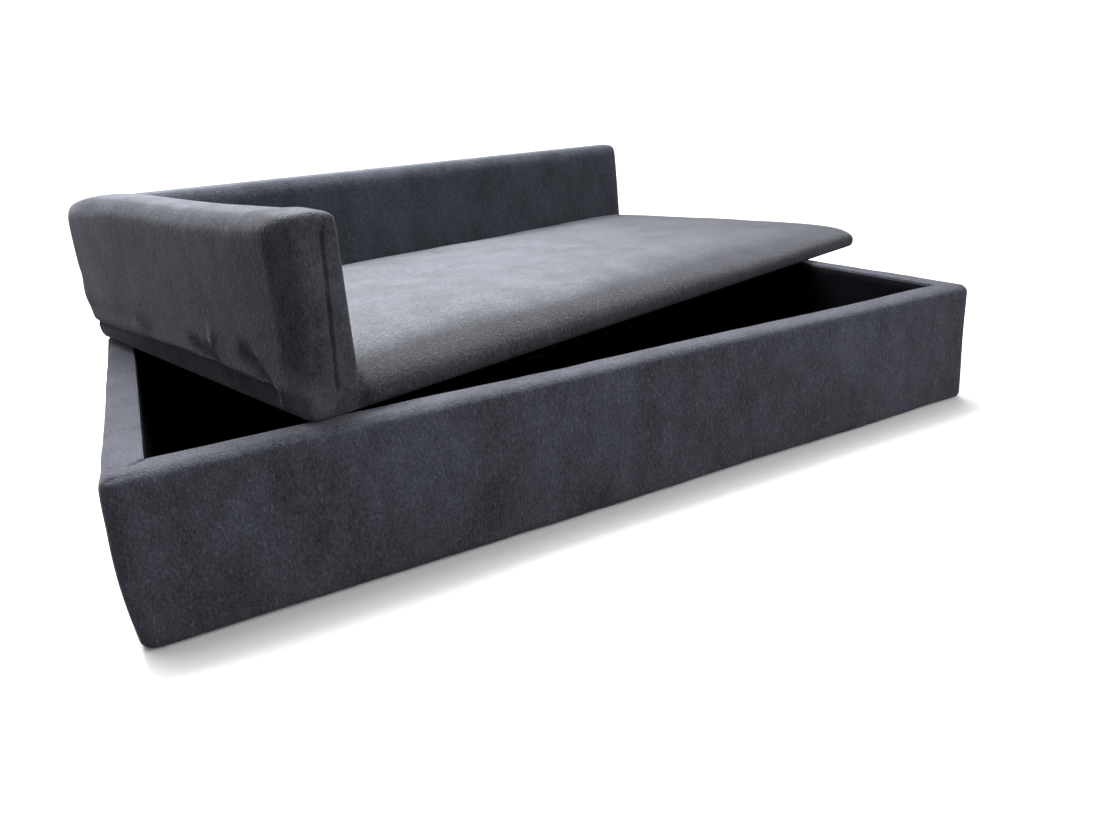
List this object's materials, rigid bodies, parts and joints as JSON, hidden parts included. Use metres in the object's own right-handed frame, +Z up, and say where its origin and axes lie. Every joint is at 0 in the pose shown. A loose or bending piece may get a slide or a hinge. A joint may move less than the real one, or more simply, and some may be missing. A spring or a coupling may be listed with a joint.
{
  "type": "dog sofa bed with storage box",
  "caption": "Upholstered dog sofa bed: a crowned seat with a backrest and one armrest on a board that swivels over an open storage box.",
  "frame": {"origin": "middle of the storage box's footprint, on the floor that it rests on", "axes": "+X towards the seat's open end, along the box; +Y towards the back of the box; +Z up"},
  "size_m": [1.0053, 0.7689, 0.3],
  "materials": {
    "velour": "short-pile slate-grey velour with a soft nap",
    "black_lining": "thin matt black nonwoven lining",
    "foam": "cream polyurethane upholstery foam, cut faces",
    "plywood": "sanded plywood, unfinished",
    "screw_steel": "yellow zinc-plated steel",
    "staple_steel": "bright galvanised wire",
    "pin_steel": "ground steel",
    "bush_brass": "turned brass"
  },
  "bodies": {
    "storage_box": {"front_board": "plywood", "back_board": "plywood", "left_board": "plywood", "right_board": "plywood", "bottom_panel": "plywood", "front_wall_foam": "foam", "back_wall_foam": "foam", "left_wall_foam": "foam", "right_wall_foam": "foam", "base_cover": "velour", "wall_lining": "black_lining", "floor_lining": "black_lining", "dust_cover": "black_lining", "frame_screws": "screw_steel", "bottom_panel_screws": "screw_steel", "base_pivot_bush": "bush_brass", "base_cover_staples": "staple_steel", "dust_cover_staples": "staple_steel"},
    "pivot_pin": {"pivot_pin": "pin_steel"},
    "sofa_top": {"top_board": "plywood", "seat_foam": "foam", "seat_cover": "velour", "armrest_core": "plywood", "armrest_foam": "foam", "armrest_cover": "velour", "backrest_core": "plywood", "backrest_foam": "foam", "backrest_cover": "velour", "underside_lining": "black_lining", "top_pivot_bush": "bush_brass", "armrest_screws": "screw_steel", "backrest_screws": "screw_steel", "top_cover_staples": "staple_steel", "underside_lining_staples": "staple_steel"}
  },
  "joints": [
    {"name": "top_swivel", "type": "hinge", "parent": "storage_box", "child": "pivot_pin", "pos_m": [-0.429, 0.236, 0.14], "axis": [0, 0, 1], "range_deg": [-17.4, 7.6]},
    {"name": "top_lift", "type": "slide", "parent": "pivot_pin", "child": "sofa_top", "axis": [0, 0, 1], "range_m": [0, 0.25]}
  ]
}
